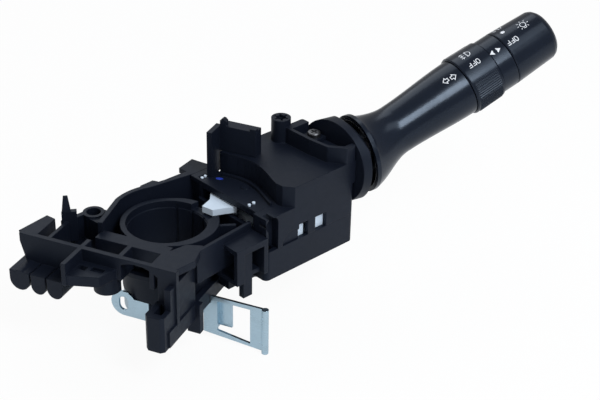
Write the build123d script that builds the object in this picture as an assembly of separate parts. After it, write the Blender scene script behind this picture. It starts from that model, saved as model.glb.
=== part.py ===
from build123d import *
import math
import os

# Combination stalk switch: column bracket, switch housing and the lever that it carries.
# Row frame: +Z along the column bore towards the driver, origin on the bore's axis at the deck.
# +X and +Y run along the bracket's ribs. Lengths are millimetres and angles are degrees.

# Column tube and its bore
BORE_R = 18.0
TUBE_WALL = 3.0
TUBE_BOTTOM = -28.0
SPIGOT_R = 19.5
SPIGOT_BOTTOM = -38.0
TUBE_GROOVE_WIDTH = 1.4
TUBE_GROOVE_DEPTH = 0.7
TUBE_GROOVE_ANGLES = (20, 52, 78, 104, 230, 258, 284, 312)

# Deck, ribs and back wall of the bracket
RIM_Z = 3.5
RIM_RELIEF = 0.5
DECK_T = 2.5
BAY_FLOOR = -10.0
RIB_T = 2.2
WALL_R = 24.0
WALL_T = 2.3
WALL_TOP = 8.5
FRONT_Y = -36.0
FRONT_T = 2.4
STRIP_BACK_Y = -18.6
STRIP_FRONT_Y = -25.4
FRONT_LEFT_X = -24.5
FRONT_RIGHT_X = 23.5
PANEL_BOTTOM = -25.0
ARCH_R = 15.6
ARCH_X = 4.4
ARCH_TOP = 2.2
TROUGH_R = 6.2
TROUGH_X = -11.6
TROUGH_BOTTOM = -15.0

# Rail block for the switch on the other side
RAIL_X = (-55.5, -46.3)
RAIL_BACK_Y = -18.0
RAIL_RIB_X = -41.0
RAIL_BOTTOM = -11.0
GUIDE_X = (-49.5, -40.0, -31.5)
GUIDE_R = (5.0, 3.6, 3.9)
GUIDE_FRONT_Y = -45.5
GUIDE_BOTTOM = -19.5
SPIKE_H = 13.0
SPIKE_X = -39.4

# Screw boss of the bracket
EAR_X = -34.0
EAR_Y = -6.4
EAR_R = 5.0
EAR_HOLE_R = 3.3
EAR_H = 14.0

# Long side rail, front block and legs
SIDE_X = 22.6
SIDE_T = 3.0
RAIL_X_IN = 20.4
RAIL_FRONT_Y = -43.0
RAIL_END_Y = 29.0
RAIL_Z = (-31.0, -23.0)
BLOCK_X = (13.5, 22.6)
BLOCK_Z = (-31.5, -14.0)
BLOCK_FRONT_Y = -47.5
LEG_BOTTOM = -38.0
DUCT_H = (9.8, 28.0)
DUCT_P = (23.4, 36.8)
DUCT_BOTTOM = -18.0
DUCT_T = 2.2

# Clamp band of spring steel
BAND_T = 1.2
BAND_Z = (-38.0, -28.1)
BAND_R = 19.5
TAB_TOP = -25.2
CLAW_GAP = 4.6
CLAW_Y = -4.0
CLAW_X = (20.0, 51.0)
CLAW_Z = (-50.0, -27.2)
CLAW_DROP = 2.6
CLAW_WINDOW_X = (26.9, 43.4)
CLAW_WINDOW_Z = (-47.8, -29.2)
TAB_END_X = -18.5

# Switch housing, in its own plan frame: h away from the bore, q across it
HOUSING_TURN = 66.5
CASE_H = (28.0, 84.0)
CASE_Q = (-35.5, 13.0)
CASE_FAR_P = -13.0
CASE_BOTTOM = -24.0
CASE_SPLIT = -9.0
LOW_TOP = 8.5
COVER_TOP = 19.0
COVER_RAISED_TOP = 27.0
RECESS_FLOOR = 22.0
COVER_WALL = 2.2
COVER_STEP_H = CASE_H[1] - 12.5
COVER_BOSS_R = 4.7
COVER_BOSS_TOP = 30.5
GROOVE_W = 7.4
GROOVE_DEPTH = 4.4
BOARD_T = 1.6
BOARD_IN = COVER_WALL + 0.4
BOARD_Z = -19.6
LIP_CLEAR = 0.1

# Guide tower behind the bay
TOWER_X = (4.4, 22.9)
TOWER_Y = (45.4, 51.4)
TOWER_TOP = 32.0

# Lever: its root is in a vertical plane through the bore's axis
STALK_TURN = 53.0
FLARE_PAST_CASE = 17.8
FLARE_REACH = CASE_H[1] + FLARE_PAST_CASE
FLARE_Z = 13.5
LEVER_RISE = 21.5
RIM_RISE = 7.5
FLARE_R = 19.2
PIVOT_REACH = 66.0
NECK_R = 12.4
LEVER_END_R = 14.3
NECK_AT = 22.0
RIM_LIP = 2.0
RIM_WALL = 1.9
LEVER_LENGTH = 60.0
RING_R = 15.3
RING_LENGTH = 16.4
SLEEVE_R = 14.2
SLEEVE_LENGTH = 9.2
KNOB_R = 14.2
KNOB_END_R = 13.2
KNOB_LENGTH = 26.6
END_GAP = 0.3
ROD_R = 5.0
ROD_BORE_R = 3.4
RUNNING_CLEAR = 0.05
TURN_LIMIT = 10.0
DIM_LIMIT = 5.0

# Collar ring round the lever's root
COLLAR_R = 20.5
COLLAR_WALL = 2.8
COLLAR_GAP = 6.0
COLLAR_REACH = (CASE_H[1] - 6.0, FLARE_REACH - COLLAR_GAP)
COLLAR_Z = 12.6
COLLAR_CLEAR = 2.2
COLLAR_SEAT_T = 2.2
COLLAR_FOOT_T = 1.8
COLLAR_SCREW_P = 11.0
COLLAR_SCREW_IN = 3.6
ARM_TAIL_R = 6.2
LEVER_HOLE_R = ARM_TAIL_R + 7.2
LEVER_HOLE_Z = 8.4

# Turn yoke and its pivots
YOKE_SIZE = (18.0, 20.0)
YOKE_Z = (-14.0, 13.0)
YOKE_SLOT_Z = (-11.4, 10.0)
TURN_PIN_OUT = 14.5
TURN_PIN_R = 2.0
TURN_PIN_Z = (-12.4, -4.6)
DIM_PIN_X = -12.6
DIM_PIN_R = 1.3
DIM_PIN_OUT = 16.8
TRUNNION_R = 4.0
ARM_W = 11.0
DIMMER_PIN_R = 2.0
PLUNGER_R = 2.6
PLUNGER_TIP = 25.0

# Cancel pawl
PAWL_PIVOT_H = CASE_H[0] + 8.0
PAWL_PIVOT_P = 1.5
PAWL_Z = (1.2, 4.4)
PAWL_PIN_R = 2.0
PAWL_TIP_H = 19.6
CAM_TOP = -3.4

# Screws
SCREW_R = 1.6
SCREW_HEAD_R = 3.2
SCREW_HEAD_H = 2.2

HOUSING = Rot(0, 0, HOUSING_TURN)
STALK = Rot(0, 0, STALK_TURN)
LEVER = STALK * Pos(FLARE_REACH, 0, FLARE_Z) * Rot(0, 90 - LEVER_RISE, 0)
LEVER_TAN = math.tan(math.radians(LEVER_RISE))
PIVOT_Z = FLARE_Z - (FLARE_REACH - PIVOT_REACH) * LEVER_TAN
PIVOT_BACK = (FLARE_REACH - PIVOT_REACH) / math.cos(math.radians(LEVER_RISE))
PIVOT = STALK * Pos(PIVOT_REACH, 0, 0)
ARM = STALK * Pos(PIVOT_REACH, 0, PIVOT_Z) * Rot(0, -LEVER_RISE, 0)
TUBE_R = BORE_R + TUBE_WALL
BELOW = 100.0


def block(x, y, z):
    """A box between the given pairs of limits."""
    size = Box(x[1] - x[0], y[1] - y[0], z[1] - z[0])
    return Pos((x[0] + x[1]) / 2, (y[0] + y[1]) / 2, (z[0] + z[1]) / 2) * size


def prism(points, z):
    """A straight-sided solid over a plan outline, between two heights."""
    face = make_face(Polyline(*points, close=True))
    return Pos(0, 0, z[0]) * extrude(face, z[1] - z[0])


def rod(radius, z, at=(0, 0)):
    """A round bar along Z between two heights."""
    return Pos(at[0], at[1], (z[0] + z[1]) / 2) * Cylinder(radius, z[1] - z[0])


def tube(outer, inner, z, at=(0, 0)):
    return rod(outer, z, at) - rod(inner, z, at)


def turned(profile):
    """A solid of revolution about Z from (radius, height) points."""
    face = make_face(Polyline(*[(r, 0, z) for r, z in profile], close=True))
    return revolve(face, Axis.Z)


def in_case(h, p):
    """Row plan coordinates of a point given along and across the housing."""
    a = math.radians(HOUSING_TURN)
    return (h * math.cos(a) + p * math.sin(a), h * math.sin(a) - p * math.cos(a))


def case_block(h, p, z):
    """A box aligned with the housing: h along it, p across it towards the front."""
    return HOUSING * block(h, (-p[1], -p[0]), z)


def screw(length):
    """A cross-recessed pan-head screw: head up, its seat at z 0, shank down."""
    head = Pos(0, 0, SCREW_HEAD_H / 2) * Cylinder(SCREW_HEAD_R, SCREW_HEAD_H)
    head = fillet(head.edges().group_by(Axis.Z)[-1], SCREW_HEAD_H * 0.4)
    cross = Box(SCREW_HEAD_R * 1.2, 0.8, 1.6) + Box(0.8, SCREW_HEAD_R * 1.2, 1.6)
    return head - Pos(0, 0, SCREW_HEAD_H) * cross + rod(SCREW_R, (-length, 0))


# Bracket

def column_tube():
    crescent = rod(TUBE_R, (BAY_FLOOR, RIM_Z), (2.4, 1.2))
    return rod(TUBE_R, (TUBE_BOTTOM, RIM_Z)) + rod(SPIGOT_R, (SPIGOT_BOTTOM, 0)) + crescent


def tube_bore():
    """The column bore with its shallow axial grooves."""
    bore = rod(BORE_R, (SPIGOT_BOTTOM - 1, 0)) + rod(BORE_R + RIM_RELIEF, (0, RIM_Z + 1))
    for angle in TUBE_GROOVE_ANGLES:
        groove = Pos(BORE_R, 0, TUBE_BOTTOM / 2 + 2) * Box(
            2 * TUBE_GROOVE_DEPTH, TUBE_GROOVE_WIDTH, -TUBE_BOTTOM)
        bore += Rot(0, 0, angle) * groove
    return bore


def back_wall():
    """The curved wall behind the bore with its two lugs, and the walls of the pawl's bay."""
    z = (BAY_FLOOR - DECK_T, WALL_TOP)
    turn = math.radians(136)
    foot = (WALL_R * math.cos(turn), WALL_R * math.sin(turn))
    ring = tube(WALL_R + WALL_T, WALL_R, z) & prism([(0, 0), (-60, 0), (2.5 * foot[0], 2.5 * foot[1])], z)
    corner = in_case(NEAR_H + 3.9, -19.3)
    straight = wall_between(foot, corner, WALL_T, z, outside=1)
    left = wall_between((-WALL_R, 0.3), (-20.9, -20.4), WALL_T, z, outside=-1)
    close = case_block((NEAR_H + 3.2, NEAR_H + 5.0), (-19.8, CASE_FAR_P + 0.5), (z[0], LOW_TOP - PLATE_T))
    web = prism([(-15.9, 22.6), (-11.1, 33.3), (-8.9, 36.9), (-13.8, 38.5), (-12.4, 49.1), (-4.3, 48.0),
                 in_case(NEAR_H + 16.0, -19.15), in_case(NEAR_H + 3.9, -19.15), (-8.3, 33.5), (-13.6, 24.8)],
                (WALL_TOP - 2.6, WALL_TOP))
    lug = prism([(-20.9, 12.6), (-22.0, 15.9), (-19.4, 22.6), (-17.4, 22.9), (-14.4, 22.4), (-15.5, 20.6),
                 (-18.6, 17.4)], z)
    near_wall = wall_between((22.6, -17.6), in_case(NEAR_H + 0.2, 23.9), 1.8, (z[0], RIM_Z), outside=-1)
    rib = wall_between((20.4, 7.6), (28.6, 12.4), 1.6, (z[0], 2.0), outside=1)
    return ring + straight + left + close + web + lug + near_wall + rib


def wall_between(start, end, thickness, z, outside=1):
    """A straight wall on the left (1) or right (-1) of the line from start to end."""
    dx, dy = end[0] - start[0], end[1] - start[1]
    length = math.hypot(dx, dy)
    nx, ny = -dy / length * thickness * outside, dx / length * thickness * outside
    return prism([start, end, (end[0] + nx, end[1] + ny), (start[0] + nx, start[1] + ny)], z)


def deck():
    """The sunk floor of the bay, and the level strip and plate between the bore and the pockets."""
    floor = (BAY_FLOOR - DECK_T, BAY_FLOOR)
    disc = rod(WALL_R + WALL_T, floor)
    near = NEAR_H + 1.6
    bay = prism([(-17.8, 17.5), in_case(near, -19.0), in_case(near, CASE_FAR_P), in_case(DUCT_H[1], 24.0),
                 (25.3, -0.5), (22.0, -12.0), (0, 0)], floor)
    right = prism([(11.0, STRIP_FRONT_Y), (11.0, FRONT_Y), (21.5, FRONT_Y), (26.5, -24.0),
                   (24.0, -11.5), (17.0, -14.0)], (0, RIM_Z))
    strip = block((-22.0, 13.0), (STRIP_FRONT_Y, STRIP_BACK_Y), (-6.0, RIM_Z))
    return disc + bay + right + strip


def front_pockets():
    """Ribs and walls round the two open pockets before the bore."""
    z = (-8.0, RIM_Z)
    wall = block((FRONT_LEFT_X, FRONT_RIGHT_X), (FRONT_Y, FRONT_Y + FRONT_T), (-24.0, RIM_Z))
    wall -= Pos(ARCH_X, FRONT_Y, ARCH_TOP - ARCH_R) * Rot(90, 0, 0) * Cylinder(ARCH_R, 12)
    wall -= block((ARCH_X - ARCH_R, ARCH_X + ARCH_R), (FRONT_Y - 6, FRONT_Y + 6), (-30, ARCH_TOP - ARCH_R))
    wall -= block((FRONT_LEFT_X - 1, ARCH_X - ARCH_R + 2), (FRONT_Y - 6, FRONT_Y + 6), (-30, -8.0))
    ribs = block((-5.7, -5.7 + RIB_T), (FRONT_Y, STRIP_FRONT_Y + 1), z)
    ribs += block((FRONT_LEFT_X, FRONT_LEFT_X + RIB_T), (-50.0, -28.0), (-7.5, RIM_Z))
    ribs += block((10.6, 10.6 + RIB_T), (FRONT_Y, STRIP_FRONT_Y + 1), z)
    ledge = block((-21.0, -5.0), (FRONT_Y, FRONT_Y + 3.4), (-8.0, RIM_Z - 0.6))
    back = block((-15.0, -2.0), (-22.5, -20.0), (-13.0, 0))
    return wall + ribs + ledge + back


def front_shelf():
    """The low shelf with its two slots, and the round trough beside the arch."""
    shelf = prism([(FRONT_LEFT_X, -50.0), (-9.0, -45.0), (-5.5, FRONT_Y + 1), (FRONT_LEFT_X, FRONT_Y + 1)],
                  (-7.5, -2.5))
    shelf -= block((-21.5, -17.5), (-42.5, -39.5), (-9, 0))
    shelf -= block((-15.5, -9.5), (-41.5, -38.5), (-9, 0))
    trough = tube(TROUGH_R, TROUGH_R - 2.6, (TROUGH_BOTTOM, -4.0), (TROUGH_X, FRONT_Y + 2.0))
    trough -= block((TROUGH_X - 8, TROUGH_X + 8), (FRONT_Y + 3.5, FRONT_Y + 12), (-30, 2))
    return shelf + trough


def rail_block():
    """The open block that takes the other switch's rails, with its three guides."""
    slant = Rot(90, 0, 0) * prism([(RAIL_X[0], RIM_Z), (RAIL_X[0] + 4.2, RAIL_BOTTOM), (0, RAIL_BOTTOM),
                                   (0, RIM_Z)], (0, 60))
    side = prism([(RAIL_X[0], FRONT_Y + 1.6), (RAIL_X[0] + 4.2, RAIL_BACK_Y), (RAIL_X[1], RAIL_BACK_Y - 1.2),
                  (RAIL_X[1], FRONT_Y + 1.6)], (RAIL_BOTTOM, RIM_Z))
    front = block((RAIL_X[0] + 1.2, FRONT_LEFT_X + RIB_T), (FRONT_Y, FRONT_Y + FRONT_T), (RAIL_BOTTOM, RIM_Z))
    side &= slant
    front &= slant
    rib = block((RAIL_RIB_X, RAIL_RIB_X + 1.8), (FRONT_Y + 1, -19.0), (RAIL_BOTTOM, RIM_Z))
    back = wall_between((RAIL_RIB_X, -20.4), (EAR_X - 2.0, EAR_Y - 2.6), 2.4, (RAIL_BOTTOM, RIM_Z))
    floor = block((RAIL_X[0] + 4, FRONT_LEFT_X + RIB_T), (FRONT_Y, -21.0), (RAIL_BOTTOM, RAIL_BOTTOM + 2.4))
    guides = None
    for x, r in zip(GUIDE_X, GUIDE_R):
        bar = block((x - r, x + r), (GUIDE_FRONT_Y, -20.0), (GUIDE_BOTTOM + r, RAIL_BOTTOM + 1))
        bar += Pos(x, (GUIDE_FRONT_Y - 20.0) / 2, GUIDE_BOTTOM + r) * Rot(90, 0, 0) * Cylinder(
            r, -20.0 - GUIDE_FRONT_Y)
        guides = bar if guides is None else guides + bar
    spike = prism([(SPIKE_X - 2.6, -20.4), (SPIKE_X + 3.2, -16.8), (SPIKE_X + 1.8, -14.6), (SPIKE_X - 3.6, -18.2)],
                  (RAIL_BOTTOM + 4, RIM_Z + 5))
    point = Pos(SPIKE_X - 1.2, -18.4, RIM_Z + 4.9) * extrude(
        Rot(0, 0, 33) * Rectangle(4.0, 2.2), SPIKE_H - 4.9, taper=7)
    return side + front + rib + back + floor + guides + spike + point


def ear_boss():
    """The round screw boss left of the bore, and the web that carries it."""
    boss = rod(EAR_R, (RIM_Z - EAR_H, RIM_Z), (EAR_X, EAR_Y))
    web = prism([(EAR_X, EAR_Y - EAR_R), (-22.6, -15.0), (-25.0, -2.0), (EAR_X, EAR_Y + EAR_R)],
                (RIM_Z - EAR_H, RIM_Z - 0.8))
    floor = prism([(EAR_X - 1.0, EAR_Y - 1.5), (-39.0, -21.0), (-39.0, FRONT_Y + 1), (-20.0, FRONT_Y + 1),
                   (-19.0, -18.0)], (RIM_Z - EAR_H, RIM_Z - EAR_H + 2.4))
    return boss + web + floor


def side_frame():
    """Side panel, long rail, front block, legs and cable duct."""
    panel = block((SIDE_X - SIDE_T, SIDE_X), (-40.0, -17.2), (-24.0, -3.6))
    rail = block((RAIL_X_IN, SIDE_X + 0.8), (RAIL_FRONT_Y, RAIL_END_Y), RAIL_Z)
    lump = block(BLOCK_X, (BLOCK_FRONT_Y, FRONT_Y + 1.0), BLOCK_Z)
    lump = chamfer(lump.edges().filter_by(Axis.Z).group_by(Axis.Y)[0], 1.6)
    lump -= block((BLOCK_X[0] + 3.0, BLOCK_X[1] - 2.4), (-44.0, -37.0), (-26.0, -10.0))
    web = block((BLOCK_X[0] + 1, SIDE_X), (FRONT_Y, FRONT_Y + FRONT_T), (-24.0, 1.0))
    leg = block((SIDE_X - SIDE_T, SIDE_X + 3.2), (-19.5, -16.0), (LEG_BOTTOM, RAIL_Z[1]))
    h, p, t = DUCT_H, DUCT_P, DUCT_T
    duct = case_block(h, p, (DUCT_BOTTOM, 0))
    duct -= case_block((h[0] - 1, h[1] - t), (p[0] + t, p[1] - t), (DUCT_BOTTOM + t, -t))
    duct -= case_block((h[0] + 4.6, h[1] - t), (p[1] - t - 1, p[1] + 1), (DUCT_BOTTOM - 1, -t - 1.0))
    foot = case_block((h[0] + 5.4, h[0] + 10.6), (p[1] - 5.0, p[1] - 2.0), (-27.5, -t + 0.2))
    tie = case_block((13.0, 24.0), (14.0, p[0] + 1), (DUCT_BOTTOM, DUCT_BOTTOM + t))
    return panel + rail + lump + web + leg + duct + foot + tie


def case_shelf():
    """The plate under the switch case that its bracket screws pass through."""
    top = CASE_BOTTOM
    plate = case_block((14.0, 62.0), (-8.0, 26.0), (top - SHELF_T, top))
    plate += case_block((14.0, CASE_H[0] - 0.4), (-8.0, 26.0), (top - 2.4, top + 8.0)) - case_block(
        (20.0, CASE_H[0] - 2.6), (-6.0, 24.0), (top, top + 9.0))
    return plate - rod(BORE_R, (-60, 60))


def bracket_frame():
    body = column_tube() + deck() + back_wall() + front_pockets() + front_shelf()
    body += rail_block()
    body += ear_boss()
    body += side_frame()
    body += case_shelf()
    body -= tube_bore()
    body -= rod(EAR_HOLE_R, (-40, 40), (EAR_X, EAR_Y))
    body -= case_block((15.0, NEAR_H + 1), (-4.5, 11.0), (PAWL_Z[0] - 0.8, 20))
    body -= prism([(-21.0, -30.8), (-7.0, -32.4), (-5.7, STRIP_FRONT_Y), (-22.3, STRIP_FRONT_Y)], (-20, 20))
    body -= plan(case_outline(), (CASE_BOTTOM, COVER_TOP))
    body -= tube(BAND_R + BAND_T + 0.2, SPIGOT_R, (SPIGOT_BOTTOM, TUBE_BOTTOM))
    for h, p in BRACKET_SCREWS:
        x, y = in_case(h, p)
        body -= rod(SCREW_R + 0.2, (-60, CASE_BOTTOM + 1), (x, y))
    return body


BRACKET_SCREWS = ((34.0, -5.0), (34.0, 22.0), (54.0, 11.0))
SHELF_T = 2.4


def clamp_band():
    """The steel band round the tube's lower end, its oval-holed tab and its windowed claw."""
    outer = BAND_R + BAND_T
    band = tube(outer, BAND_R, BAND_Z)
    gap = prism([(0, 0), (2, -60), (60, -60), (60, -CLAW_GAP), (24, -CLAW_GAP)], (-60, 0))
    band -= gap
    radius = (TAB_TOP - BAND_Z[0]) / 2
    middle = (TAB_TOP + BAND_Z[0]) / 2
    tab = block((-9.5, 0), (-outer, -BAND_R), BAND_Z)
    tab += block((TAB_END_X + radius, -9.4), (-outer, -BAND_R), (BAND_Z[0], TAB_TOP))
    tab += Pos(TAB_END_X + radius, -(outer + BAND_R) / 2, middle) * Rot(90, 0, 0) * Cylinder(radius, BAND_T)
    tab -= Pos(TAB_END_X + radius, -BAND_R, middle) * Rot(90, 0, 0) * extrude(
        SlotOverall(7.2, 4.8, rotation=90), 3, both=True)
    tab -= rod(TUBE_R + 0.1, (TUBE_BOTTOM - 0.1, 0))
    claw = sloped_plate(CLAW_X, CLAW_Z, BAND_T)
    claw -= block((CLAW_X[0] - 1, SIDE_X + 1.1), (CLAW_Y - 4, CLAW_Y + 4), (RAIL_Z[0] - 0.1, CLAW_Z[1] + 1))
    claw -= sloped_plate(CLAW_WINDOW_X, CLAW_WINDOW_Z, 8)
    roll = Pos(CLAW_X[1], CLAW_Y - 0.9, sum(CLAW_Z) / 2) * Cylinder(1.6, CLAW_Z[1] - CLAW_Z[0] + 0.8)
    at, z = CLAW_WINDOW_X[0], (CLAW_WINDOW_Z[0] + CLAW_DROP + 1.2, CLAW_WINDOW_Z[1] - 1.2)
    tongue = block((at - 0.5, at + 6.0), (CLAW_Y - BAND_T / 2 + 3.0, CLAW_Y + BAND_T / 2 + 3.0), z)
    tongue += block((at - 1.1, at + 0.1), (CLAW_Y - BAND_T / 2, CLAW_Y + BAND_T / 2 + 3.0), z)
    return band + tab + claw + roll + tongue


def sloped_plate(x, z, thickness):
    """An upright plate in the claw's plane whose lower edge falls by CLAW_DROP along it."""
    outline = [(x[0], z[1]), (x[1], z[1]), (x[1], z[0]), (x[0], z[0] + CLAW_DROP)]
    face = make_face(Polyline(*[(px, CLAW_Y - thickness / 2, pz) for px, pz in outline], close=True))
    return extrude(face, thickness, dir=(0, 1, 0))


# Switch housing

def plan(points, z, inset=0.0, radius=0.0):
    """A housing prism over (h, p) points, its sides set in and its corners rounded."""
    face = make_face(Polyline(*[(h, -p) for h, p in points], close=True))
    if radius:
        face = fillet(face.vertices(), radius)
    if inset:
        face = offset(face, -inset)
    return HOUSING * (Pos(0, 0, z[0]) * extrude(face, z[1] - z[0]))


NEAR_H, FAR_H = CASE_H
FRONT_P = -CASE_Q[0]
PLATE_H = NEAR_H + 1.6
CURVE = [(14.4, -12.8), (15.6, -8.6), (17.3, -4.4), (18.5, -0.4), (19.1, 3.6), (19.1, 7.6), (18.5, 11.6),
         (17.4, 15.6), (16.0, 19.6), (14.6, 23.4), (13.6, 27.0)]
UPPER_OUTLINE = [(NEAR_H + h, p) for h, p in CURVE] + [
    (NEAR_H + 13.8, 31.0), (NEAR_H + 17.4, FRONT_P), (FAR_H, FRONT_P), (FAR_H, -12.8)]
PLATE_OUTLINE = [(PLATE_H, -19.0), (PLATE_H, 26.8)] + [(NEAR_H + h - 0.4, p - 0.1) for h, p in CURVE[::-1]] + [
    (NEAR_H + 13.0, -19.0)]
RIDGE = [(NEAR_H + h - 2.4, p) for h, p in CURVE[1:]] + [(NEAR_H + h - 3.6, p) for h, p in CURVE[:0:-1]]
RIDGE_RISE = 1.5
PLATE_T = 2.0
RAISED_OUTLINE = [(COVER_STEP_H, -0.8), (COVER_STEP_H, 17.0), (COVER_STEP_H + 1.0, 28.0),
                  (COVER_STEP_H + 6.6, FRONT_P), (FAR_H, FRONT_P), (FAR_H, -0.8)]
RECESS_OUTLINE = [(COVER_STEP_H + 1.8, 3.6), (COVER_STEP_H + 1.8, 17.0), (COVER_STEP_H + 2.8, 27.0),
                  (COVER_STEP_H + 7.6, 32.6), (FAR_H + 1, 32.6), (FAR_H + 1, 3.6)]


def case_outline():
    return [(CASE_H[0], -CASE_Q[1]), (CASE_H[0], -CASE_Q[0]), (CASE_H[1], -CASE_Q[0]), (CASE_H[1], -CASE_Q[1])]


def switch_case():
    """The lower half of the housing: an open tray with bosses for the yoke and the screws."""
    tray = plan(case_outline(), (CASE_BOTTOM, CASE_SPLIT), radius=2.5)
    tray -= plan(case_outline(), (CASE_BOTTOM + COVER_WALL, 0), inset=COVER_WALL, radius=2.5)
    bearing = PIVOT * tube(TRUNNION_R + 2.5, TRUNNION_R + RUNNING_CLEAR, (CASE_BOTTOM + 1, YOKE_Z[0] - 0.2))
    tray += bearing
    for h, p in CASE_SCREWS:
        x, y = in_case(h, p)
        tray += rod(SCREW_R + 2.4, (CASE_BOTTOM + 1, CASE_SPLIT), (x, y))
        tray -= rod(SCREW_R + RUNNING_CLEAR, (CASE_BOTTOM - 1, 0), (x, y))
        tray -= rod(SCREW_HEAD_R + 0.3, (CASE_BOTTOM - 1, CASE_BOTTOM + SCREW_HEAD_H), (x, y))
    for h, p in BRACKET_SCREWS:
        x, y = in_case(h, p)
        tray += rod(SCREW_R + 2.2, (CASE_BOTTOM + 1, CASE_BOTTOM + 6.0), (x, y))
        tray -= rod(SCREW_R, (CASE_BOTTOM - 1, CASE_BOTTOM + 5.0), (x, y))
    shroud_hole = case_block(SHROUD_H, (-CASE_Q[1] - 1, -CASE_Q[1] + COVER_WALL + 1), SHROUD_Z)
    return tray - shroud_hole


CASE_SCREWS = ((NEAR_H + 15.5, -8.6), (NEAR_H + 10.6, 30.2), (FAR_H - 5.0, 30.5), (FAR_H - 5.0, -8.6))
SHROUD_H = (50.0, 74.0)
SHROUD_Z = (-21.6, -9.6)
SHROUD_DEPTH = 16.0


def switch_cover():
    """The upper half: low skirt, upper box with a raised end, screw boss and front windows."""
    skirt = plan(case_outline(), (CASE_SPLIT, LOW_TOP), radius=2.5)
    upper = plan(UPPER_OUTLINE, (LOW_TOP - 1, COVER_TOP))
    raised = plan(RAISED_OUTLINE, (COVER_TOP - 1, COVER_RAISED_TOP), radius=1.2)
    body = skirt + upper + raised
    boss_at = in_case(FAR_H - 11.4, -3.6)
    body += rod(COVER_BOSS_R, (COVER_TOP - 3, COVER_BOSS_TOP), boss_at)
    hollow = plan(case_outline(), (CASE_SPLIT - 1, LOW_TOP - COVER_WALL), inset=COVER_WALL, radius=2.5)
    hollow += plan(UPPER_OUTLINE, (CASE_SPLIT, COVER_TOP - COVER_WALL), inset=COVER_WALL)
    hollow += plan(RAISED_OUTLINE, (CASE_SPLIT, RECESS_FLOOR - COVER_WALL), inset=COVER_WALL)
    body -= hollow
    body -= plan(RECESS_OUTLINE, (RECESS_FLOOR, COVER_RAISED_TOP + 1))
    body -= lower_opening()
    body += front_recess(1.4) & plan(case_outline(), (CASE_SPLIT, LOW_TOP))
    body -= front_recess(0)
    body += PIVOT * tube(TRUNNION_R + 2.2, TRUNNION_R + RUNNING_CLEAR, (YOKE_Z[1] + 0.2, COVER_TOP - 1))
    for h, p in CASE_SCREWS:
        x, y = in_case(h, p)
        body += rod(SCREW_R + 1.9, (CASE_SPLIT, CASE_SPLIT + 8.5), (x, y))
        body -= rod(SCREW_R, (CASE_SPLIT - 1, CASE_SPLIT + 7.5), (x, y))
    body -= rod(2.3, (COVER_TOP + 1, COVER_BOSS_TOP + 1), boss_at)
    for turn in (0, 60, 120):
        body -= Pos(boss_at[0], boss_at[1], COVER_BOSS_TOP) * Rot(0, 0, turn) * Box(7.0, 1.0, 3.0)
    body += collar_screw_place() * rod(SCREW_R + 2.0, (-7.4, -COLLAR_FOOT_T))
    body -= collar_screw_place() * rod(SCREW_R, (-6.4, 1.0))
    body -= lever_window()
    for h in WINDOW_H:
        body -= case_block(h, (-CASE_Q[0] - COVER_WALL - 1, -CASE_Q[0] + 1), (CASE_SPLIT - 1, WINDOW_TOP))
    scoop = HOUSING * Pos(44.5, CASE_Q[0], CASE_SPLIT) * Rot(90, 0, 0) * Cylinder(6.2, 1.6)
    return body - scoop


WINDOW_H = ((48.4, 54.0), (58.6, 65.6))
WINDOW_TOP = -1.5


def front_recess(wall):
    """The upright recess in the front wall beside the duct, rounded at its far top corner."""
    h, p = (NEAR_H + 1.4 - wall, NEAR_H + GROOVE_W + wall), (FRONT_P - GROOVE_DEPTH - wall, FRONT_P + 1)
    round_r = GROOVE_W / 2
    body = case_block(h, p, (CASE_SPLIT - 1, LOW_TOP - round_r))
    body += case_block((h[0], h[1] - round_r), p, (CASE_SPLIT, LOW_TOP + 1))
    corner = HOUSING * Pos(h[1] - round_r, -p[1], LOW_TOP - round_r) * Rot(-90, 0, 0) * Cylinder(
        round_r, p[1] - p[0], align=(Align.CENTER, Align.CENTER, Align.MIN))
    return body + corner


def lower_opening():
    """Where the separate lower cover plate closes the skirt, and the pawl's gap in the near wall."""
    plate = plan(PLATE_OUTLINE, (LOW_TOP - PLATE_T, LOW_TOP + 1))
    below = case_block((NEAR_H - 1, NEAR_H + 12.0), (-10.6, 26.0), (PAWL_Z[0] - 1.2, LOW_TOP))
    edge = case_block((NEAR_H - 1, PLATE_H), (-14.0, 26.8), (PAWL_Z[0] - 1.2, LOW_TOP + 1))
    return plate + below + edge


def lever_window():
    """The passage through the housing's far end that the lever's arm swings in."""
    passage = STALK * Pos(CASE_H[1] + 2.0, 0, LEVER_HOLE_Z) * Rot(0, 90, 0) * Cylinder(LEVER_HOLE_R, 20)
    return passage & HOUSING * block((CASE_H[1] - COVER_WALL - 0.3, CASE_H[1] + 20), (-60, 60), (-60, 60))


def collar_screw_place():
    """The collar screw's seat on the hood's foot, in the recess of the cover's raised end."""
    return HOUSING * Pos(CASE_H[1] - COLLAR_SCREW_IN, -COLLAR_SCREW_P, RECESS_FLOOR + COLLAR_FOOT_T)


def lower_cover():
    """The flat plate beside the bore, over the pawl."""
    plate = plan(PLATE_OUTLINE, (LOW_TOP - PLATE_T, LOW_TOP))
    plate += plan(RIDGE, (LOW_TOP - 1, LOW_TOP + RIDGE_RISE))
    plate -= case_block((PLATE_H + 1.4, PLATE_H + 6.2), (-15.4, -12.6), (LOW_TOP - 0.7, LOW_TOP + 1))
    pad = rod(2.0, (LOW_TOP - 1, LOW_TOP + 0.5), in_case(PLATE_H + 11.2, 7.0))
    lip = case_block((PLATE_H, PLATE_H + 1.6), (-10.4, 25.8), (LOW_TOP - 3.2, LOW_TOP - 1.0))
    return plate + pad + lip


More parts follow.
